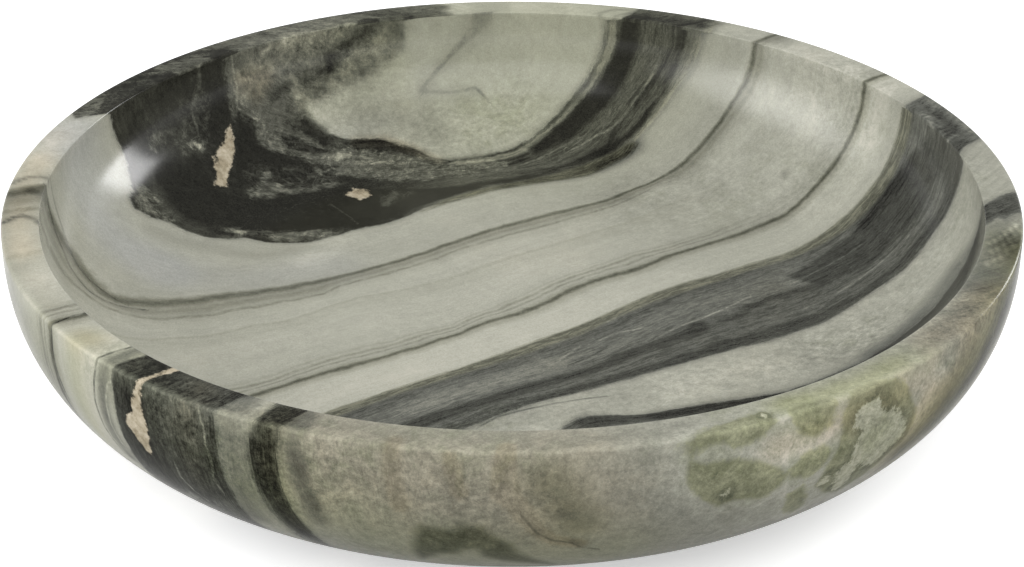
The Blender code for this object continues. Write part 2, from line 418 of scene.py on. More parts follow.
# Soft strokes of each kind: by how much they change it, half their width in millimetres, and where they run
plan_strokes = {
    "tone": [
        (-0.05, 3.5, [(668, 50), (641, 55), (620, 62), (601, 71), (580, 85), (558, 105)]),
        (-0.04, 3, [(553, 110), (601, 104), (649, 99)]),
        # painted light along the top of the right-hand basin wall, where the lamps' light falls off
        (0.05, 10, [(1060, 180), (1132, 224), (1205, 293), (1240, 370)]),
        (0.05, 11, [(440, 460), (420, 500), (400, 540)]),
        # partly lighter fringe stone below the pool, partly a painted halo round the lamp's reflection on
        # the left basin wall
        (0.09, 6, [(168, 436), (180, 458), (206, 472), (235, 479)]),
        # painted halo round the lamp's reflection on the left basin wall
        (0.06, 9, [(185, 350), (195, 337), (205, 320)]),
        (-0.1, 7, [(690, 288), (740, 268), (800, 250), (850, 230), (893, 203)]),
        (-0.05, 7, [(170, 522), (260, 515), (330, 525), (420, 500)]),
        (-0.07, 8, [(900, 990), (1100, 915), (1240, 830), (1330, 765)]),
        (-0.06, 12, [(640, 1040), (720, 990), (800, 960), (860, 930)]),
        (-0.16, 9, [(1200, 850), (1260, 800), (1320, 745)]),
        (-0.04, 12, [(1080, 820), (1130, 840), (1180, 860)]),
        (0.04, 12, [(1080, 780), (1180, 720), (1290, 650)]),
        (0.06, 9, [(560, 975), (620, 935), (700, 885), (760, 845)]),
        (-0.09, 2.5, [(1117, 333), (1119, 327)]),
        (-0.06, 14, [(470, 152), (530, 150), (575, 162)]),
        (0.06, 5, [(400, 196), (430, 204)]),
        (-0.08, 8, [(1225, 490), (1246, 472), (1273, 468)]),
        (-0.03, 8, [(850, 203), (880, 202), (902, 196)]),
        (-0.08, 9, [(1320, 440), (1330, 480), (1330, 510)]),
        (-0.1, 5, [(840, 238), (870, 222), (893, 203)]),
        (0.1, 3, [(520, 315), (512, 335), (506, 355)]),
    ],
    "warm": [
        (0.8, 5, [(455, 206), (500, 192), (545, 202), (585, 220)]),
    ],
    # painted reflection: a bluish tint on the left basin wall where the polish would mirror something bright
    "painted_cool_reflection": [
        (0.9, 20, [(62, 500), (85, 565), (135, 590), (190, 602)]),
        (0.5, 20, [(190, 602), (320, 600), (440, 560)]),
    ],
    "green": [
        (0.3, 14, [(385, 175), (420, 150), (460, 125), (510, 100)]),
        (0.4, 75, [(640, 110), (745, 90), (840, 70)]),
    ],
    "rough": [
        (0.2, 20, [(260, 240), (300, 190), (350, 150), (440, 95), (500, 70)]),
        (0.8, 26, [(430, 165), (480, 160), (560, 175), (700, 140)]),
        (0.8, 24, [(640, 1040), (760, 970), (900, 920), (1050, 860), (1200, 800)]),
        (0.5, 40, [(900, 330), (1050, 330), (1170, 340)]),
        (0.5, 22, [(1120, 800), (1240, 730), (1330, 650)]),
    ],
    "soft": [
        (0.7, 8, [(392, 198), (376, 184), (382, 170), (412, 145), (446, 121), (482, 99), (521, 77)]),
        (0.35, 7, [(640, 209), (607, 218), (575, 218), (545, 200)]),
    ],
}
wall_strokes = {
    "tone": [
        (0.13, 17, [(-140, -24), (-150, -20), (-160, -21)]),
        (0.09, 7, [(-147, -15), (-152, -16), (-156, -15)]),
        (0.05, 6, [(-161, -21), (-158, -26), (-155.5, -29.5)]),
        (0.06, 5, [(-147.5, -15.5), (-150, -16)]),
        (-0.19, 6, [(-159.4, -17.5), (-157.4, -19), (-154.9, -23), (-153.2, -27.5)]),
        (-0.06, 4, [(-161, -13.5), (-159.6, -15)]),
        (-0.08, 5, [(-152.5, -22), (-151.3, -26)]),
        (0.13, 7, [(-147, -34), (-147.4, -39), (-148.5, -45)]),
        (-0.08, 3.5, [(-153, -30), (-151.2, -31), (-148, -32.3), (-146, -33)]),
        (-0.11, 4, [(-146, -32.5), (-143.5, -34)]),
        (0.17, 2.5, [(-143.5, -17), (-146.5, -14.5)]),
        (0.05, 7, [(-140, -27), (-142, -31)]),
        (-0.04, 5, [(-165, -18), (-163.4, -25), (-161, -31), (-158, -34)]),
        (0.05, 8, [(80, -8), (88, -6)]),
        (0.02, 9, [(-34, -8), (-34, 10), (-34, 30)]),
        (-0.06, 2.5, [(-0.7, -1), (-1, 5), (-1.2, 13), (0.8, 18), (2.5, 28.5)]),
        (-0.06, 2.5, [(-6, 1), (-5.5, 7), (-5, 13.5)]),
        (-0.06, 55, [(-20, 15), (0, 25), (14, 25)]),
        (-0.18, 9, [(-28.5, -12), (-28.5, 8), (-28, 40)]),
        (-0.09, 4, [(-21, 8), (-20.6, 14)]),
        (-0.08, 4, [(-20, 22), (-19.6, 26)]),
        (-0.09, 3, [(-88.5, -13), (-89.6, -9)]),
        (-0.14, 6, [(-21.3, -10), (-21.8, 5), (-21.3, 15), (-20, 32)]),
        (-0.24, 5, [
            (-45.4, -14), (-45.5, -7), (-45.6, 0), (-46.2, 8), (-46.6, 16), (-46.4, 26), (-45.4, 36),
        ]),
        (-0.07, 12, [(-41, -10), (-42, 10), (-41, 30)]),
        (-0.05, 9, [(-22, -8), (0, -8), (30, -8), (60, -8)]),
        (-0.11, 10, [(64, -12), (72, -10), (80, -8)]),
        (-0.05, 10, [(64, -4), (72, -4), (82, -4)]),
        (-0.08, 9, [(74, 3), (67, 8), (62, 14), (60, 22), (60, 32)]),
        (0.03, 12, [(-74, -7), (-84, -7)]),
        (-0.045, 11, [(-51.5, -5), (-51.5, 12), (-51, 34)]),
        (0.05, 16, [(16, 12), (24, 12), (30, 14)]),
        (-0.07, 1.5, [(-59.2, -14), (-59, -5), (-59, 6), (-58.6, 16)]),
        (-0.06, 3.5, [(-11.5, -4), (-11.6, 8), (-11, 20)]),
        (-0.07, 3, [(-8.8, -2), (-7, 4), (-6, 12), (-5.5, 25)]),
        (-0.06, 3, [(2.5, 30), (4, 34), (6, 36), (7, 39)]),
        (-0.09, 11, [(3.5, 10), (5, 17), (6.5, 25)]),
        (-0.1, 2.5, [(4.5, 21), (6, 23)]),
        (-0.1, 2.5, [(6, 34), (7.5, 37)]),
        # these two strokes: partly darker olive stone, partly painted shade along the right-hand edge of the
        # outer wall
        (-0.25, 15, [(76, 0), (67, 10), (61, 18), (54, 27), (47, 35)]),
        (-0.08, 12, [(66, 4), (56, 10), (50, 20)]),
        (-0.08, 10, [(52, -6), (60, -6), (68, -6)]),
        (0.02, 12, [(-54, -2), (-50, 10), (-49, 30)]),
        # painted shade on the left of the outer wall, darkening it against the left softbox's light
        (-0.12, 34, [(-80, 8), (-70, 16), (-62, 26)]),
        (0.06, 10, [(28, 4), (27, 10), (33, 12)]),
        (0.05, 12, [(48, 5), (49, 20), (48, 35)]),
        (0.05, 14, [(-172, -6), (-164, -4)]),
        (-0.06, 12, [(-173, -7), (-178, -7)]),
        (0.05, 14, [(-158, -6), (-142, -6)]),
        (0.03, 12, [(-126, -6), (-116, -6)]),
        (-0.06, 7, [(-165, -11), (-161, -6), (-158, -3)]),
        (0.16, 1.5, [(75.5, -11), (78, -7), (81, -3)]),
        (0.13, 1.5, [(73, -10), (76, -6), (79.5, -2)]),
        (0.12, 1.5, [(70, -10), (73, -6), (76, -3)]),
        (0.12, 5, [(105, -2), (116, -2)]),
        (0.14, 1.0, [(104.5, -14), (105.8, -10), (106.2, -6)]),
        (0.14, 1.0, [(109, -14), (112.5, -11), (113.7, -7), (114.2, -4)]),
        (0.1, 1.0, [(106, -14), (109, -11), (110.5, -7)]),
        (-0.1, 1.6, [(167.3, -14), (168, -11), (166.3, -6), (164, -4)]),
        (-0.08, 1.6, [(165.5, -14), (165, -10), (163.5, -7)]),
        (-0.1, 7, [(154, -9), (163, -9)]),
        (-0.12, 5, [(152.5, -14), (152.8, -10)]),
        (-0.06, 7, [(141, -6), (143, -6)]),
        (-0.17, 1.8, [(-93, -14), (-93.6, -10), (-93.2, -6), (-91.6, -1)]),
        (-0.07, 8.5, [(-89.0, -13), (-89.0, -9), (-88.8, -4)]),
        (-0.24, 1.9, [(-80.5, -14), (-82, -12), (-83, -8), (-82.6, -5), (-81.5, -2)]),
        (-0.01, 12, [(-76, -7), (-70, -9), (-62, -6)]),
        (0.06, 14, [(-108, -6), (-100, -6), (-96, -6)]),
        (0.05, 14, [(-79, -6), (-66, -6)]),
        (-0.03, 14, [(-57, -6), (-50, -6)]),
        (0.05, 14, [(122, -7), (132, -6), (148, -7)]),
        (0.03, 14, [(170, -7), (180, -7)]),
        (0.03, 14, [(-180, -7), (-174, -7)]),
    ],
    "warm": [
        (0.8, 9, [(-139.5, -26), (-143, -27), (-141, -32)]),
        (1.3, 3.5, [(-0.7, -1), (-1, 5), (-1.2, 13), (0.8, 18), (2.5, 28.5), (4.2, 34), (7, 37)]),
        (1.2, 3, [(-6, 1), (-5.5, 7), (-5, 13.5)]),
        (0.6, 12, [(56, 4), (52, 14), (47, 24)]),
        (0.8, 50, [(-18, 4), (-8, 6), (4, 8)]),
        (0.5, 12, [(-34, -8), (-34, 10), (-34, 30)]),
        (0.4, 12, [(-74, -7), (-86, -7), (-98, -7)]),
        (0.3, 11, [(-51.5, -5), (-51.5, 12), (-51, 34)]),
        (0.8, 4, [(-11.5, -4), (-11.6, 8), (-11, 20)]),
        (0.9, 4, [(-0.5, -4), (-0.5, 5), (0, 15), (1, 22)]),
        (0.8, 26, [(74, 0), (65, 10), (59, 18), (53, 26), (46, 34)]),
        (0.8, 14, [(50, -6), (58, -5), (64, -4)]),
        (0.8, 14, [(27, 8), (47, 5), (49, 25)]),
        (0.4, 14, [(-105, -6), (-78, -6), (-50, -6)]),
    ],
    "green": [
        (0.5, 8, [(28, -8), (36, -6), (44, -6)]),
        (0.6, 9, [(-24, -10), (-24.5, 10), (-23, 40)]),
        (0.5, 20, [(62, 4), (56, 14), (50, 24)]),
        (0.6, 12, [(74, 3), (67, 8), (62, 14), (60, 22), (60, 32)]),
        (0.3, 22, [(-60, 12), (-64, 30), (-74, 50)]),
        (0.45, 11, [(-51.5, -5), (-51.5, 12), (-51, 34)]),
        (0.5, 12, [(30, -6), (38, -4), (46, -6)]),
        (0.5, 14, [(3.5, 10), (5, 17), (6.5, 25)]),
        (0.8, 22, [(76, 0), (67, 10), (61, 18), (54, 27), (47, 35)]),
        (0.6, 30, [(-16, 30), (-10, 40), (10, 45)]),
        (0.5, 34, [(-42, -4), (-36, 10), (-26, 20)]),
    ],
    "rough": [
        (1.0, 70, [(-22, 10), (20, 10), (70, 10)]),
        (1.2, 30, [(-44, -5), (-34, 5), (-24, 10)]),
        (1.2, 14, [(53, -8), (62, -6)]),
        (1.0, 14, [(-128, -7), (-114, -7)]),
        (0.5, 30, [(-22, 8), (-12, 12), (0, 16)]),
    ],
    # painted highlight: these strokes lighten the stone along the outer arris
    "arris": [
        (0.95, 2.3, [(-64, -0.9), (-40, -0.9), (-20, -0.9)]),
        (0.4, 2.3, [(-18, -0.9), (0, -0.9), (30, -0.9), (52, -0.9)]),
        (0.85, 1.5, [(66, -0.9), (72, -0.9), (80, -0.9)]),
    ],
    "soft": [
        (1.0, 9, [(-171, -13), (-170, -7), (-168, 0)]),
    ],
    "wisp": [
        (0.65, 17, [(64, -7), (72, -7), (82, -7)]),
        (0.7, 16, [(-172, -7), (-150, -7), (-116, -7)]),
        (0.5, 16, [(92, -7), (116, -7)]),
    ],
    "grain": [
        (1.0, 26, [(74, 2), (65, 12), (58, 22), (50, 34), (44, 44)]),
    ],
}

# Thin threads: how much lighter or darker they are, and where they run
plan_threads = [
    (-0.11, [(668, 50), (655, 52), (641, 55), (620, 62), (601, 71), (580, 85), (566, 97), (553, 110)]),
    (-0.09, [(553, 110), (575, 107), (601, 104), (628, 98)]),
    (-0.15, [(628, 98), (641, 95), (649, 99), (662, 109)]),
    (-0.15, [(455, 206), (480, 196), (515, 190), (545, 200), (570, 214), (600, 219)]),
    (-0.16, [
        (52, 686), (56, 692), (62, 704), (72, 716), (85, 738), (97, 748), (111, 757), (131, 755),
        (152, 746), (182, 730),
    ]),
    (-0.12, [(148, 735), (131, 731), (107, 726), (92, 716), (79, 698), (69, 677), (60, 664), (53, 655)]),
    (0.17, [(222, 262), (216, 275), (209, 292), (216, 300), (219, 308)]),
    (0.11, [(159, 370), (174, 349), (189, 331)]),
    (0.14, [(268, 218), (274, 224), (272, 236), (278, 238), (297, 234)]),
    (0.07, [(423, 357), (443, 383), (457, 403), (467, 420)]),
    (0.13, [(762, 840), (790, 802), (812, 786), (850, 757), (882, 746)]),
    (0.15, [(1040, 655), (1005, 688), (975, 713), (948, 733), (922, 754), (905, 772)]),
    (0.1, [(1210, 545), (1180, 560), (1140, 585), (1110, 610)]),
    (0.09, [(1170, 650), (1200, 628), (1240, 600), (1275, 580)]),
    (0.15, [(790, 197), (830, 173), (862, 160), (882, 143), (902, 124), (932, 107)]),
    (0.12, [(700, 232), (740, 212), (775, 190), (805, 172)]),
    (-0.18, [(655, 1020), (680, 992), (720, 971), (760, 955), (800, 943), (828, 937)]),
    (-0.13, [(830, 800), (820, 815), (780, 850)]),
    (0.12, [(300, 455), (340, 450), (380, 452), (410, 440)]),
]
wall_threads = [
    (-0.3, [(-46.4, -14), (-46.9, -7), (-47, 0), (-47.8, 8), (-48.2, 16), (-48, 26), (-47, 34)]),
    (0.16, [(-45.2, 4), (-46, 12), (-46.2, 22), (-45.6, 30)]),
    (-0.28, [(-56.3, -14), (-56.6, -9), (-56.3, -5), (-56, 0), (-56.2, 8), (-56, 16), (-55.4, 26)]),
    (0.24, [(-32.4, 1), (-31.8, 7), (-31.9, 12), (-31.3, 18), (-31.8, 26), (-31.2, 31)]),
    (0.28, [(-36.8, 27), (-36.9, 32), (-36, 38), (-35, 42)]),
    (-0.14, [(1, 22), (2.5, 30), (4, 34), (6, 36), (7, 39), (9, 42)]),
]


def plan_place(points):
    """Plan drawing points in metres."""
    drawn = np.asarray(points, float)
    return np.stack([(drawn[:, 0] - middle) * unit, (middle - drawn[:, 1]) * unit], -1)


def chart_place(points):
    """Wall chart points in metres round the rim and down the wall."""
    drawn = np.asarray(points, float)
    return np.stack([np.radians(drawn[:, 0]) * bowl_radius, drawn[:, 1] / 1000], -1)


def spline_kernel(squared):
    return 0.5 * squared * np.log(squared + 1e-12)


def layer_field(places):
    """A smooth coordinate across the layers, in drawing units, that follows every traced line."""
    points = np.concatenate([np.asarray(line, float) for _, line in layers]) / middle - 1
    values = np.concatenate([np.full(len(line), value) for value, line in layers]) / middle
    count = len(points)
    gaps = points[:, None] - points[None]
    system = np.zeros((count + 3, count + 3))
    system[:count, :count] = spline_kernel((gaps ** 2).sum(-1)) + layer_smoothing * np.eye(count)
    flat = np.column_stack([np.ones(count), points])
    system[:count, count:] = flat
    system[count:, :count] = flat.T
    weights = np.linalg.solve(system, np.append(values, [0, 0, 0]))
    wanted = places / (unit * middle) * (1, -1)
    result = weights[count] + wanted @ weights[count + 1:]
    batch = 4000
    for start in range(0, len(wanted), batch):
        part = wanted[start:start + batch]
        squared = ((part[:, None] - points[None]) ** 2).sum(-1)
        result[start:start + batch] += spline_kernel(squared) @ weights[:count]
    return result * middle


def near(points, places, reach):
    """Which places lie within reach of the box round the points."""
    low, high = points.min(0) - reach, points.max(0) + reach
    return ((places > low) & (places < high)).all(1)


def from_side(start, end, places):
    """How far each place is from a straight side, and its offset from the side's start."""
    side, offset = end - start, places - start
    share = np.clip(offset @ side / max(side @ side, 1e-12), 0, 1)
    return np.linalg.norm(offset - share[:, None] * side, axis=1), offset


def soft_share(distance, reach):
    """1 at no distance, falling smoothly to 0 at the reach."""
    part = np.clip(1 - distance / reach, 0, 1)
    return part * part * (3 - 2 * part)


def outline_distance(outline, places):
    """Metres from each place to a closed outline, above zero inside it."""
    nearest = np.full(len(places), np.inf)
    inside = np.zeros(len(places), bool)
    for start, end in zip(outline, np.roll(outline, -1, axis=0)):
        distance, offset = from_side(start, end, places)
        nearest = np.minimum(nearest, distance)
        across, rise = end - start
        spans = (start[1] > places[:, 1]) != (end[1] > places[:, 1])
        crossing = start[0] + offset[:, 1] * across / (rise or 1e-12)
        inside ^= spans & (places[:, 0] < crossing)
    return np.where(inside, nearest, -nearest)


def shape_field(outlines):
    """Millimetres inside the nearest of several outlines, each with the places that it is drawn on."""
    best = np.full(len(outlines[0][1]), -outline_reach)
    for outline, places in outlines:
        close = near(outline, places, outline_reach)
        best[close] = np.maximum(best[close], outline_distance(outline, places[close]))
    return np.clip(best, -outline_reach, outline_reach) * 1000


def stroke_field(strokes, count):
    """The sum of soft strokes, each strongest along its line."""
    total = np.zeros(count)
    for amount, reach, line, places in strokes:
        close = near(line, places, reach)
        nearest = np.full(close.sum(), np.inf)
        for start, end in zip(line[:-1], line[1:]):
            nearest = np.minimum(nearest, from_side(start, end, places[close])[0])
        total[close] += amount * soft_share(nearest, reach)
    return total


def thread_fields(threads, count):
    """Millimetres to the nearest thread, unlike in sign on its two sides, and how strong it is there."""
    gap = np.full(count, thread_reach)
    strength = np.zeros(count)
    for amount, line, places in threads:
        close = np.flatnonzero(near(line, places, thread_reach))
        nearest = np.full(len(close), np.inf)
        side = np.ones(len(close))
        for start, end in zip(line[:-1], line[1:]):
            way = end - start
            distance, offset = from_side(start, end, places[close])
            turn = way[0] * offset[:, 1] - way[1] * offset[:, 0]
            side = np.where(distance < nearest, np.where(turn < 0, -1, 1), side)
            nearest = np.minimum(nearest, distance)
        closest = nearest < np.abs(gap[close])
        gap[close[closest]] = (nearest * side)[closest]
        strength[close[closest]] = (amount * soft_share(nearest, thread_reach))[closest]
    return gap * 1000, strength


def arc(centre, radius, start, end):
    """Points (radius, height) along a small round, both ends included."""
    return [
        (centre[0] + radius * math.cos(angle), centre[1] + radius * math.sin(angle))
        for angle in np.linspace(start, end, arris_steps + 1)
    ]


def evenly(points, spacing=ring_spacing):
    """The same path in steps of about the spacing, both ends included."""
    path = np.asarray(points, float)
    lengths = path_lengths(path)
    steps = max(1, round(lengths[-1] / spacing))
    wanted = np.linspace(0, lengths[-1], steps + 1)
    return np.column_stack([np.interp(wanted, lengths, path[:, axis]) for axis in (0, 1)])


def path_lengths(path):
    return np.append(0, np.cumsum(np.linalg.norm(np.diff(path, axis=0), axis=1)))


def basin_path():
    points = []
    for radius in np.linspace(0, floor_radius, floor_points):
        dish = floor_dish * (1 - math.cos(math.pi * radius / floor_radius)) / 2
        points.append((radius, foot_height + floor_thickness + dish))
    width, lip = basin_radius - floor_radius, rim_height - basin_lip_height
    for angle in np.linspace(0, math.pi / 2, basin_wall_points)[1:]:
        drop = (lip - floor_edge_height) * math.cos(angle)
        points.append((floor_radius + width * math.sin(angle), lip - drop))
    return evenly(points)


def rim_path():
    inner_centre = (basin_radius + inner_arris_radius, rim_height - inner_arris_radius)
    outer_centre = (bowl_radius - outer_arris_radius, rim_height - outer_arris_radius)
    inner = arc(inner_centre, inner_arris_radius, math.pi, math.pi / 2)
    land = evenly([inner[-1], (outer_centre[0], rim_height)])
    outer = arc(outer_centre, outer_arris_radius, math.pi / 2, 0)
    return np.concatenate([inner, land[1:-1], outer])


def outside_path():
    def across(angle):
        return math.cos(angle) ** (2 / outer_wall_power)

    def down(angle):
        return math.sin(angle) ** (2 / outer_wall_power)

    lip = rim_height - lip_height
    width = (bowl_radius - foot_radius) / (1 - across(outer_wall_sweep))
    drop = (lip - foot_height) / down(outer_wall_sweep)
    return evenly([
        (bowl_radius - width * (1 - across(angle)), lip - drop * down(angle))
        for angle in np.linspace(0, outer_wall_sweep, outer_wall_points)
    ])


def foot_path():
    return evenly([(foot_radius, foot_height), (0, foot_height)], foot_ring_spacing)


def steps_at(radius):
    """How many steps a ring of this radius has: the full number, halved towards the axis."""
    steps = turning_steps
    while steps > 5 and radius < 0.5 * bowl_radius * steps / turning_steps:
        steps //= 2
    return steps


def ring_points(radius, height, steps):
    angles = np.arange(steps) * 2 * math.pi / steps
    return np.column_stack([radius * np.cos(angles), radius * np.sin(angles), np.full(steps, height)])


def join_rings(first, first_steps, second, second_steps, faces):
    """Faces between two rings, of which one may have half the other's steps."""
    if first_steps == second_steps:
        for step in range(first_steps):
            after = (step + 1) % first_steps
            faces.append((first + step, first + after, second + after, second + step))
        return
    flipped = first_steps > second_steps
    coarse, fine = (second, first) if flipped else (first, second)
    count = min(first_steps, second_steps)
    for step in range(count):
        after = (step + 1) % count
        left, mid, right = fine + 2 * step, fine + 2 * step + 1, fine + (2 * step + 2) % (2 * count)
        this, following = coarse + step, coarse + after
        fans = [(this, mid, left), (this, following, mid), (following, right, mid)]
        faces.extend(fan[::-1] if flipped else fan for fan in fans)


def turned_mesh(path):
    """Vertices, faces and each vertex's ring for a closed turned solid. The path runs from axis to axis."""
    vertices = [np.array([[0, 0, path[0][1]]])]
    owner = [np.zeros(1, int)]
    faces = []
    start, steps = 0, 1
    for ring, (radius, height) in enumerate(path[1:-1], 1):
        after, after_steps = start + steps, steps_at(radius)
        vertices.append(ring_points(radius, height, after_steps))
        owner.append(np.full(after_steps, ring))
        if steps == 1:
            faces.extend((0, after + step, after + (step + 1) % after_steps) for step in range(after_steps))
        else:
            join_rings(after, after_steps, start, steps, faces)
        start, steps = after, after_steps
    last = start + steps
    vertices.append(np.array([[0, 0, path[-1][1]]]))
    owner.append(np.full(1, len(path) - 1))
    faces.extend((last, start + (step + 1) % steps, start + step) for step in range(steps))
    return np.concatenate(vertices), faces, np.concatenate(owner)


def linked(name, data):
    made = bpy.data.objects.new(name, data)
    bpy.context.scene.collection.objects.link(made)
    return made


def make_bowl():
    parts = [basin_path(), rim_path(), outside_path()[1:], foot_path()[1:]]
    path = np.concatenate(parts)
    vertices, faces, owner = turned_mesh(path)
    mesh = bpy.data.meshes.new("polished_marble_bowl")
    mesh.from_pydata(vertices.tolist(), [], faces)
    mesh.shade_smooth()
    mesh.materials.append(marble_material())
    lengths = path_lengths(path)
    outer_arris_end = len(parts[0]) + len(parts[1]) - 1
    paint_fields(mesh, vertices, (lengths - lengths[outer_arris_end])[owner] * 1000)
    return linked("polished_marble_bowl", mesh)


def add_field(mesh, name, values):
    attribute = mesh.attributes.new(name, "FLOAT", "POINT")
    attribute.data.foreach_set("value", np.asarray(values, np.float32))


def paint_fields(mesh, vertices, depth):
    """Store what the material has to know about each vertex of the stone, given its depth in millimetres.

    Layers are stored in hundreds of drawing units, the way round in decimetres and the depth in centimetres.
    """
    plan = vertices[:, :2]
    azimuth = np.arctan2(vertices[:, 0], -vertices[:, 1])
    chart = np.stack([azimuth * bowl_radius, depth / 1000], -1)
    drawn = plan / unit * (1, -1)
    in_pool = np.clip((pool_right_end - middle - drawn[:, 0]) / pool_fade, 0, 1)
    add_field(mesh, "across", layer_field(plan) / 100)
    add_field(mesh, "along", drawn @ (layer_slope[1], -layer_slope[0]) / 100)
    add_field(mesh, "pool", in_pool * (drawn[:, 1] < pool_front_end - middle))
    add_field(mesh, "turn", chart[:, 0] * 10)
    add_field(mesh, "deep", depth / 10)
    on_rim = vertices[:, 2] > rim_height - outer_arris_radius - height_tolerance
    paint_outlines(mesh, plan, chart, on_rim & (np.abs(azimuth) > front_rim_end))
    paint_strokes(mesh, plan, chart)


def paint_outlines(mesh, plan, chart, charted_rim):
    """The patches: in plan apart from the charted rim, on the chart, and on the chart of that rim alone."""
    plan_off_rim = np.where(charted_rim[:, None], far_away, plan)
    chart_on_rim = np.where(charted_rim[:, None], chart, far_away)
    kinds = {
        "dark": (dark_outlines, dark_on_wall, dark_on_rim),
        "black": (black_outlines, black_on_wall, black_on_rim),
        "grey": (grey_outlines, grey_on_wall, grey_on_rim),
        "edge": (edge_outlines, [], []),
        "web": (web_outlines, [], []),
        "pale": (pale_outlines, [], []),
        "beige": (beige_outlines, beige_on_wall, []),
        "green_patch": ([], green_on_wall, []),
        "olive": ([], olive_on_wall, []),
        "cluster": ([], cluster_on_wall, []),
    }
    for kind, (in_plan, on_wall, around_rim) in kinds.items():
        outlines = [(plan_place(outline), plan_off_rim) for outline in in_plan]
        outlines += [(chart_place(outline), chart) for outline in on_wall]
        outlines += [(chart_place(outline), chart_on_rim) for outline in around_rim]
        add_field(mesh, kind, shape_field(outlines))


def paint_strokes(mesh, plan, chart):
    """The soft strokes of each kind, and the threads."""
    drawings = [(plan_strokes, plan_place, plan), (wall_strokes, chart_place, chart)]
    for kind in {**plan_strokes, **wall_strokes}:
        strokes = [
            (amount, reach / 1000, place(line), places)
            for drawing, place, places in drawings
            for amount, reach, line in drawing.get(kind, [])
        ]
        add_field(mesh, kind, stroke_field(strokes, len(plan)))
    threads = [(amount, plan_place(line), plan) for amount, line in plan_threads]
    threads += [(amount, chart_place(line), chart) for amount, line in wall_threads]
    gap, strength = thread_fields(threads, len(plan))
    add_field(mesh, "thread_gap", gap)
    add_field(mesh, "thread", strength)


class Graph:
    """Short names for the nodes of a material or of the world."""

    def __init__(self, owner):
        owner.use_nodes = True
        self.tree = owner.node_tree

    def put(self, socket, value):
        if isinstance(value, bpy.types.NodeSocket):
            self.tree.links.new(value, socket)
        elif isinstance(value, tuple) and len(value) == 3 and socket.type == "RGBA":
            socket.default_value = (*value, 1)
        else:
            socket.default_value = value

    def fill(self, node_name, inputs):
        """Set the inputs of a node that is there."""
        for name, value in inputs.items():
            self.put(self.tree.nodes[node_name].inputs[name], value)

    def node(self, kind, inputs, output=0, **settings):
        """One output of a new node, whose inputs are given by their place or name."""
        node = self.tree.nodes.new("ShaderNode" + kind)
        for name, value in settings.items():
            setattr(node, name, value)
        for key, value in inputs.items():
            self.put(node.inputs[key], value)
        return node.outputs[output]

    def math(self, operation, *values):
        return self.node("Math", dict(enumerate(values)), operation=operation)

    def add(self, first, second):
        return self.math("ADD", first, second)

    def less(self, first, second):
        return self.math("SUBTRACT", first, second)

    def times(self, first, second):
        return self.math("MULTIPLY", first, second)

    def size(self, value):
        return self.math("ABSOLUTE", value)

    def at_most(self, value, limit):
        return self.math("MINIMUM", value, limit)

    def total(self, start, *parts):
        """The start and, one after another, each value times its share."""
        for value, share in parts:
            start = self.math("MULTIPLY_ADD", value, share, start)
        return start

    def field(self, name):
        return self.node("Attribute", {}, "Fac", attribute_name=name)

    def ray(self, name):
        return self.node("LightPath", {}, name)

    def vector(self, x, y, z):
        return self.node("CombineXYZ", {0: x, 1: y, 2: z})

    def vector_math(self, operation, first, second=(0, 0, 0), output="Vector"):
        return self.node("VectorMath", {0: first, 1: second}, output, operation=operation)

    def noise(self, vector, scale, detail=3.0, roughness=0.55, distortion=0.0):
        """A noise that is centred on zero and mostly stays between -1 and 1."""
        inputs = {"Vector": vector, "Scale": scale, "Detail": detail, "Roughness": roughness}
        noise = self.node("TexNoise", {**inputs, "Distortion": distortion}, "Fac")
        return self.total(-0.5 * noise_gain, (noise, noise_gain))

    def step(self, value, low, high, to_low=0.0, to_high=1.0, way="SMOOTHSTEP"):
        """A change from one value to another as the input goes from low to high."""
        entries = (value, low, high, to_low, to_high)
        return self.node("MapRange", dict(enumerate(entries)), interpolation_type=way)

    def hump(self, value, centre, reach, strength):
        """This strength at the centre, and nothing from the reach on."""
        return self.step(self.size(self.add(value, -centre)), 0.0, reach, strength, 0.0)

    def mixed(self, share, first, second):
        """A number between two others."""
        return self.node("Mix", {0: share, 2: first, 3: second}, data_type="FLOAT")

    def blended(self, share, first, second, way="MIX"):
        """A colour between two others."""
        return self.node("Mix", {0: share, 6: first, 7: second}, 2, data_type="RGBA", blend_type=way)

    def tinted(self, colour, share, tint):
        """The colour times a tint, as far as the share says."""
        return self.blended(share, colour, tint, "MULTIPLY")

    def ramp(self, value, stops):
        node = self.tree.nodes.new("ShaderNodeValToRGB")
        self.put(node.inputs[0], value)
        elements = node.color_ramp.elements
        while len(elements) < len(stops):
            elements.new(0.5)
        for element, (position, colour) in zip(elements, stops):
            element.position = position
            element.color = (*colour, 1)
        return node.outputs[0]

    def profile(self, value, stops):
        """A number that follows (value, number) stops."""
        low, high = stops[0][0], stops[-1][0]
        share = self.step(value, low, high, way="LINEAR")
        return self.ramp(share, [((at - low) / (high - low), (number,) * 3) for at, number in stops])


def linear(red, green, blue):
    """A colour that is given as it looks on a screen, 0 to 255, as light."""
    shares = [channel / 255 for channel in (red, green, blue)]
    return tuple(s / 12.92 if s <= 0.04045 else ((s + 0.055) / 1.055) ** 2.4 for s in shares)


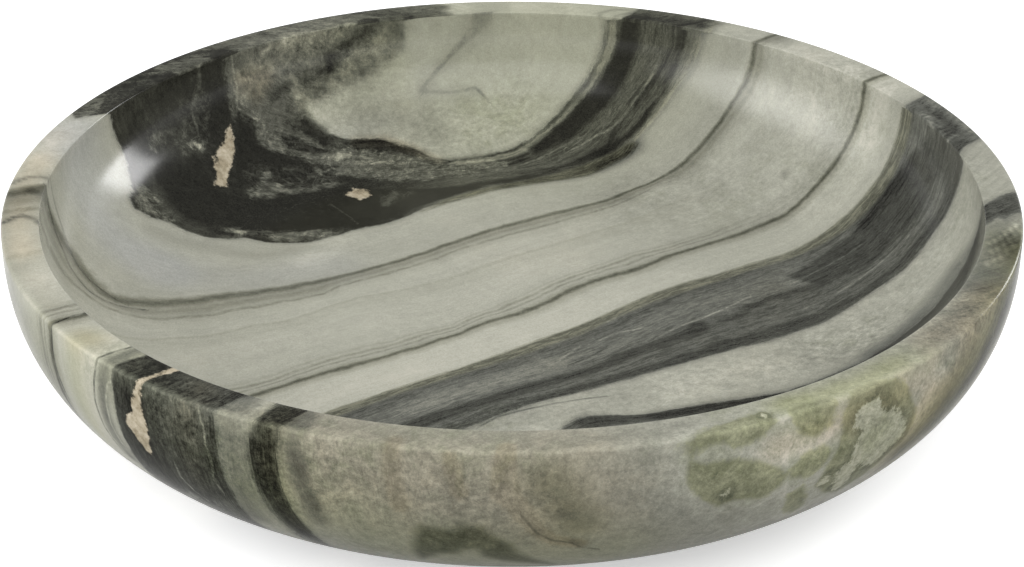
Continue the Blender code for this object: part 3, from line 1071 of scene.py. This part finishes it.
def add_noises(g):
    """The places and noises that the whole stone shares. Those along the layers are drawn out with them."""
    place = g.node("TexCoord", {}, "Object")
    height = g.node("SeparateXYZ", {0: place}, 2)
    coarse = g.noise(place, 28.0)
    g.fine = g.noise(place, 170.0, 5.0, 0.66)
    g.along = g.field("along")
    g.across = g.total(g.times(g.field("across"), 100.0), (g.fine, 2.8), (coarse, 3.5))
    thin = g.times(g.across, 0.01)

    def drawn_out(along, up, *settings):
        return g.noise(g.vector(thin, g.times(g.along, along), g.times(height, up)), *settings)

    g.streaks = drawn_out(0.06, 3.0, 12.0, 6.0, 0.70)
    g.hair = drawn_out(0.07, 4.0, 60.0, 6.0, 0.78)
    g.smudge = drawn_out(0.35, 14.0, 16.0, 8.0, 0.74, 0.5)
    g.lines = drawn_out(0.09, 2.0, 15.0, 5.0, 0.68)
    g.speck = g.noise(place, 420.0, 6.0, 0.78)
    g.grain = g.noise(place, 1700.0, 3.0, 0.85)
    g.crumbs = g.noise(place, 850.0, 3.0, 0.75)
    g.clouds = g.noise(place, 18.0, 5.0, 0.62)
    g.mottle = g.noise(place, 85.0, 7.0, 0.74, 0.8)
    g.web = g.noise(place, 130.0, 4.0, 0.70, 1.0)
    g.rough = g.at_most(g.field("rough"), 1.6)
    g.upper = g.step(g.across, -100.0, -200.0)


def layers_in_dark(g):
    """How light each dark layer is. A tone is as it looks on a screen: 0 is black and 1 is white."""
    upper_layers = g.profile(g.across, [
        (-470, 0.48), (-455, 0.34), (-449, 0.22), (-444, 0.43), (-438, 0.41), (-434, 0.22), (-425, 0.17),
        (-416, 0.18), (-408, 0.24), (-398, 0.25), (-386, 0.24), (-374, 0.19), (-366, 0.24), (-358, 0.33),
        (-350, 0.38), (-340, 0.50),
    ])
    lower_layers = g.profile(g.across, [
        (60, 0.50), (84, 0.44), (92, 0.32), (100, 0.26), (108, 0.29), (120, 0.33), (140, 0.35), (162, 0.33),
        (172, 0.29), (182, 0.26), (192, 0.26), (200, 0.30), (214, 0.29), (226, 0.26), (240, 0.27),
        (256, 0.42), (340, 0.42), (366, 0.34), (378, 0.27), (420, 0.27),
    ])
    return g.mixed(g.upper, lower_layers, upper_layers)


def dark_tone(g):
    """How light the dark stone is."""
    in_pool = g.field("pool")
    ridge = g.times(g.step(g.size(g.lines), 0.34, 0.03), g.step(g.hair, -0.9, 0.6, 0.35, 1.3))
    tone = g.mixed(in_pool, g.total(layers_in_dark(g), (ridge, 0.08)), 0.17)
    tone = g.total(tone, (g.streaks, 0.05), (g.smudge, 0.06), (g.step(g.hair, 0.1, 1.0), 0.07))

    grey = g.step(g.total(g.field("grey"), (g.smudge, 2.0), (g.mottle, 2.8)), -1.1, 1.7)
    tone = g.mixed(grey, tone, g.total(0.312, (g.hair, 0.08), (g.smudge, 0.16), (g.mottle, 0.07)))
    pale = g.step(g.total(g.field("pale"), (g.speck, 1.5), (g.mottle, 3.0)), -1.0, 1.6)
    tone = g.mixed(pale, tone, g.total(0.49, (g.speck, 0.08), (g.mottle, 0.14)))

    ragged = g.total(g.field("black"), (g.speck, 0.8), (g.mottle, 1.4), (g.streaks, 1.6))
    black = g.step(ragged, g.mixed(in_pool, -1.6, -0.6), g.mixed(in_pool, 1.5, 0.8))
    lower_core = g.total(0.200, (g.streaks, 0.04), (g.hair, 0.045), (ridge, 0.06))
    upper_core = g.total(0.145, (g.streaks, 0.016), (g.hair, 0.026))
    core = g.mixed(g.upper, lower_core, upper_core)
    tone = g.mixed(black, tone, g.total(core, (g.smudge, 0.022)))

    in_web = g.step(g.total(g.field("web"), (g.mottle, 2.5)), -0.5, 2.5)
    strands = g.times(g.step(g.size(g.web), 0.30, 0.02), in_web)
    return g.total(tone, (strands, g.step(g.smudge, -0.4, 0.9, 0.04, 0.20)))


def vein_darkness(g):
    """How much the thin veins darken the light stone."""
    main_veins = [(-241, 9, 0.24), (-228, 15, 0.10), (-10, 8, 0.26), (-2, 14, 0.07)]
    side_veins = [
        (-212, 7, 0.10), (-198, 26, 0.02), (-141, 7, 0.035), (-125, 26, 0.02), (-44, 4, 0.04),
        (-35, 5, 0.09), (-26, 4, 0.08), (-18, 4, 0.04),
    ]
    broken = g.step(g.smudge, -0.9, 0.6, 0.6, 1.15)
    dotted = g.times(g.step(g.smudge, -0.7, 0.6, 0.25, 1.4), g.step(g.along, 2.5, 5.0, 1.0, 0.25))
    veins = [(g.hump(g.across, *vein), broken) for vein in main_veins]
    veins += [(g.hump(g.across, *vein), dotted) for vein in side_veins]
    return g.total(0.0, *veins)


def light_tone(g):
    """How light the light stone is."""
    tone = g.profile(g.across, [
        (-560, 0.63), (-470, 0.62), (-350, 0.61), (-322, 0.64), (-300, 0.635), (-270, 0.62), (-218, 0.61),
        (-190, 0.66), (-160, 0.645), (-100, 0.66), (-60, 0.65), (-22, 0.61), (8, 0.67), (50, 0.69),
        (70, 0.67), (240, 0.61), (265, 0.62), (300, 0.65), (350, 0.63), (400, 0.60),
    ])
    tone = g.total(tone, (g.streaks, 0.022), (g.hair, 0.021), (g.smudge, 0.016), (g.mottle, 0.032))
    to_right = g.times(g.step(g.along, 1.0, 4.5), g.step(g.across, -430.0, -350.0))
    dashes = g.times(g.step(g.total(g.hair, (g.speck, 0.35)), 0.45, 1.0), to_right)
    dashes = g.times(dashes, g.step(g.size(g.add(g.across, 120.0)), 110.0, 80.0))
    tone = g.total(tone, (dashes, -0.10), (to_right, -0.048))
    g.vein_share = vein_darkness(g)
    return g.total(g.less(tone, g.vein_share), (g.clouds, 0.020))


def layered_tone(g):
    """The light and the dark stone with their frayed edges, then the threads and the strokes."""
    soft = g.field("soft")
    frayed = g.total(g.field("dark"), (g.fine, 0.7), (g.hair, 0.8), (g.streaks, 1.1))
    g.dark_share = g.step(frayed, g.total(-0.7, (soft, -3.5)), g.total(0.7, (soft, 2.0)))
    fringe = g.step(frayed, g.total(-3.0, (soft, -3.0)), 0.5)
    light = g.less(light_tone(g), g.times(fringe, g.total(0.09, (g.hair, 0.07))))
    tone = g.mixed(g.dark_share, light, dark_tone(g))

    g.edge_share = g.step(g.total(g.field("edge"), (g.hair, 0.9), (g.streaks, 0.9)), -1.4, 0.9)
    ridge = g.step(g.size(g.lines), 0.30, 0.03)
    tone = g.mixed(g.edge_share, tone, g.total(0.455, (g.speck, 0.03), (g.hair, 0.05), (ridge, -0.12)))

    wavering = g.total(g.field("thread_gap"), (g.fine, 0.12), (g.speck, 0.12))
    worn = g.step(g.add(g.speck, g.fine), -0.9, 0.9, 0.15, 1.2)
    thread = g.times(g.step(g.size(wavering), 0.85, 0.10), worn)
    tone = g.total(tone, (thread, g.field("thread")))
    return g.add(tone, g.times(g.field("tone"), g.total(1.0, (g.speck, 0.4), (g.mottle, 0.8))))


def patched_tone(g, tone):
    """The wisps, the grain and the round patches that only the rim and the outside show."""
    turn = g.field("turn")
    g.deep = g.field("deep")
    slanted = g.vector(g.total(g.deep, (turn, -8.0)), g.times(turn, 0.8), 0.0)
    wisps = g.noise(slanted, 2.6, 5.0, 0.60, 0.5)
    upright = g.vector(g.total(g.deep, (turn, 6.0)), g.times(g.deep, 0.12), 0.0)
    grained = g.noise(upright, 3.0, 7.0, 0.75, 0.3)
    on_wall = g.times(g.field("grain"), g.step(g.deep, 0.0, 0.2))
    tone = g.total(tone, (g.times(wisps, g.field("wisp")), 0.12), (g.times(grained, on_wall), 0.14))

    soft_mottle = g.total(g.speck, (g.mottle, 2.6))
    green_patch, cluster = g.field("green_patch"), g.field("cluster")
    g.green_share = g.step(g.add(soft_mottle, green_patch), -1.3, 1.3)
    round_green = g.times(g.step(green_patch, -7.0, -2.0), g.less(1.0, g.green_share))
    tone = g.total(tone, (round_green, 0.045))
    tone = g.less(tone, g.times(g.green_share, g.total(0.065, (g.mottle, -0.04))))
    tone = g.less(tone, g.times(g.times(g.step(cluster, -3.5, -0.8), g.green_share), 0.07))
    g.olive_share = g.step(g.add(soft_mottle, g.field("olive")), -2.6, 3.0)
    tone = g.mixed(g.olive_share, tone, g.total(0.34, (g.mottle, 0.07)))
    g.cluster_share = g.step(g.total(cluster, (soft_mottle, 1.3)), -0.6, 0.9)
    return g.mixed(g.cluster_share, tone, g.total(0.65, (g.speck, 0.06), (g.mottle, 0.08)))


def grain_and_arris_highlight_tone(g, tone):
    """Pits, specks and grain, and a painted highlight along the outer arris."""
    unevenness = g.total(g.times(g.smudge, 0.04), (g.speck, 0.115), (g.mottle, 0.085))
    pits = g.times(g.step(g.total(g.crumbs, (g.mottle, 0.4)), 0.62, 1.1), -0.15)
    tone = g.total(
        tone,
        (g.rough, g.add(unevenness, pits)),
        (g.speck, g.mixed(g.dark_share, 0.026, 0.050)),
        (g.grain, g.mixed(g.dark_share, 0.070, 0.085)),
    )
    # painted highlight along the outer arris, drawn by pulling the tone there towards a pale value
    painted_arris_highlight = g.times(g.field("arris"), g.total(0.27, (g.speck, 0.06)))
    return g.total(tone, (g.less(0.86, tone), painted_arris_highlight))


def stone_colour(g, tone):
    """The colour for each tone, tinted from place to place."""
    colour = g.ramp(tone, [
        (0.08, linear(22, 22, 19)),
        (0.17, linear(43, 43, 39)),
        (0.28, linear(71, 72, 66)),
        (0.40, linear(101, 102, 95)),
        (0.52, linear(132, 132, 121)),
        (0.64, linear(163, 163, 150)),
        (0.72, linear(185, 183, 170)),
        (0.84, linear(214, 211, 199)),
    ])
    olive_dark = g.times(g.dark_share, g.total(g.times(g.upper, 0.8), (g.clouds, 0.3)))
    olive_veins = g.times(g.vein_share, g.less(4.0, g.times(g.dark_share, 4.0)))
    olive_edge = g.at_most(g.math("MAXIMUM", g.edge_share, olive_veins), 1.0)
    uneven_warmth = g.add(g.clouds, g.times(g.mottle, g.times(g.rough, 0.6)))
    warm = g.total(g.field("warm"), (uneven_warmth, 0.40))
    warm_share = g.times(g.step(warm, 0.0, 1.3), g.less(1.0, g.cluster_share))
    green_flecks = g.times(g.rough, g.step(g.total(g.clouds, (g.mottle, 0.7)), 0.1, -0.8))
    green = g.total(g.field("green"), (g.green_share, g.total(1.0, (g.cluster_share, -0.5))))
    for share, tint in [
        (olive_dark, (1.0, 0.985, 0.90)),
        (olive_edge, (1.0, 0.985, 0.86)),
        (warm_share, (1.05, 0.955, 0.85)),
        (green_flecks, (0.975, 1.0, 0.90)),
        # bluish tint of the painted reflection on the left basin wall
        (g.at_most(g.field("painted_cool_reflection"), 1.0), (0.99, 1.0, 1.10)),
        (g.at_most(green, 1.0), (0.98, 1.0, 0.79)),
        (g.times(g.olive_share, 0.7), (0.98, 1.0, 0.78)),
    ]:
        colour = g.tinted(colour, share, tint)

    ragged = g.total(g.field("beige"), (g.speck, 1.0), (g.mottle, 1.6))
    beige = g.ramp(g.total(0.5, (g.speck, 0.4), (g.mottle, 0.5)), [
        (0.1, linear(110, 101, 82)),
        (0.4, linear(160, 149, 126)),
        (0.8, linear(200, 190, 169)),
    ])
    return g.blended(g.step(ragged, -0.5, 0.5), colour, beige)


def marble_material():
    material = bpy.data.materials.new("polished_marble")
    g = Graph(material)
    add_noises(g)
    tone = grain_and_arris_highlight_tone(g, patched_tone(g, layered_tone(g)))
    g.fill("Principled BSDF", {
        "Base Color": stone_colour(g, tone),
        "Roughness": g.total(0.17, (g.grain, 0.015), (g.fine, 0.025)),
        "IOR": 1.5,
        "Specular IOR Level": g.step(g.deep, -0.22, -0.06, basin_gloss, outside_gloss),
    })
    return material


def felt_material():
    material = bpy.data.materials.new("wool_felt")
    g = Graph(material)
    place = g.node("TexCoord", {}, "Object")
    fibres = g.noise(place, 2600.0, 5.0, 0.75, 1.5)
    tone = g.total(0.5, (g.noise(place, 260.0), 0.12), (fibres, 0.3))
    shades = [(0.0, linear(38, 38, 40)), (0.5, linear(62, 62, 64)), (1.0, linear(96, 96, 98))]
    g.fill("Principled BSDF", {
        "Base Color": g.ramp(tone, shades),
        "Roughness": 0.95,
        "Sheen Weight": 0.25,
        "Normal": g.node("Bump", {"Strength": 0.6, "Distance": 0.0004, "Height": fibres}, "Normal"),
    })
    return material


def area_light(name, place, target, width, depth, power, mirrored=True):
    lamp = bpy.data.lights.new(name, "AREA")
    lamp.shape = "RECTANGLE"
    lamp.size = width
    lamp.size_y = depth
    lamp.energy = power
    rig = linked(name, lamp)
    rig.location = place
    rig.rotation_euler = (Vector(target) - Vector(place)).to_track_quat("-Z", "Y").to_euler()
    rig.visible_glossy = mirrored


def background_rays(g):
    """1 for rays that show the background, also mirrored or through glass, and 0 for those that light."""
    total = g.ray("Is Camera Ray")
    for name in ("Is Glossy Ray", "Is Transmission Ray"):
        total = g.node("Math", {0: total, 1: g.ray(name)}, use_clamp=True)
    return total


def make_floor():
    """White where a straight or mirrored ray sees it, and grey for the light that it throws."""
    signs = ((-1, -1), (1, -1), (1, 1), (-1, 1))
    corners = [(x * floor_reach, y * floor_reach, 0) for x, y in signs]
    mesh = bpy.data.meshes.new("studio_floor")
    mesh.from_pydata(corners, [], [(0, 1, 2, 3)])
    material = bpy.data.materials.new("white_floor")
    g = Graph(material)
    seen = background_rays(g)
    g.fill("Principled BSDF", {
        "Base Color": g.blended(seen, floor_for_light, floor_when_seen),
        "Roughness": 0.9,
        "Specular IOR Level": 0.0,
        "Emission Color": (1, 1, 1),
        "Emission Strength": g.mixed(g.ray("Is Camera Ray"), g.times(seen, 0.08), 0.45),
    })
    mesh.materials.append(material)
    floor = linked("studio_floor", mesh)


def make_world():
    """White behind the bowl. Mirrored rays find a dark ceiling above that, and a bright window in it."""
    world = bpy.data.worlds.new("studio")
    bpy.context.scene.world = world
    g = Graph(world)
    direction = g.node("TexCoord", {}, "Generated")
    up = g.node("SeparateXYZ", {0: direction}, 2)
    ceiling = g.step(up, 0.05, 0.33, 1.0, 0.12)
    from_window = g.vector_math("SUBTRACT", direction, window_direction)
    counted = g.vector_math("MULTIPLY", from_window, window_shares)
    window = g.step(g.vector_math("LENGTH", counted, output="Value"), 0.10, 0.38, 5.2, 0.0)
    lighting = g.step(up, 0.0, 0.7, 0.86, 0.90)
    unseen = g.mixed(background_rays(g), lighting, g.add(ceiling, window))
    g.fill("Background", {"Color": (1, 1, 1), "Strength": g.mixed(g.ray("Is Camera Ray"), unseen, 1.0)})


def make_studio():
    bowl_middle = (0, 0, 0.04)
    area_light("front_softbox", (0.15, -1.0, 1.35), bowl_middle, 1.4, 1.0, 8)
    area_light("left_softbox", (-1.35, -0.30, 0.60), bowl_middle, 1.4, 1.0, 12, mirrored=False)
    area_light("right_back_softbox", (0.965, 0.674, 0.342), (-0.143, 0.06, 0.05), 0.30, 0.52, 6)
    make_floor()
    make_world()


def make_camera():
    """The photograph's view: 28 degrees down, from a little under a metre."""
    target = Vector((0, 0, rim_height - view_target_drop))
    back, up = math.cos(view_elevation), math.sin(view_elevation)
    lens = bpy.data.cameras.new("photo_view")
    lens.sensor_width = film_width
    lens.lens = focal_length
    lens.clip_start = 0.01
    camera = linked("photo_view", lens)
    camera.location = target + view_distance * Vector((0, -back, up))
    camera.rotation_euler = (math.pi / 2 - view_elevation, 0, 0)
    bpy.context.scene.camera = camera


def dress_pads():
    """The pads keep their solids' shapes and get the felt."""
    felt = felt_material()
    for name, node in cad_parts.items():
        if name.startswith("felt_pad"):
            node.data.materials.clear()
            node.data.materials.append(felt)


def main():
    bpy.context.scene.view_settings.view_transform = "Standard"
    make_camera()
    make_studio()
    bowl = make_bowl()
    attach(bowl, "root")
    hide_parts("marble_bowl")
    dress_pads()


main()
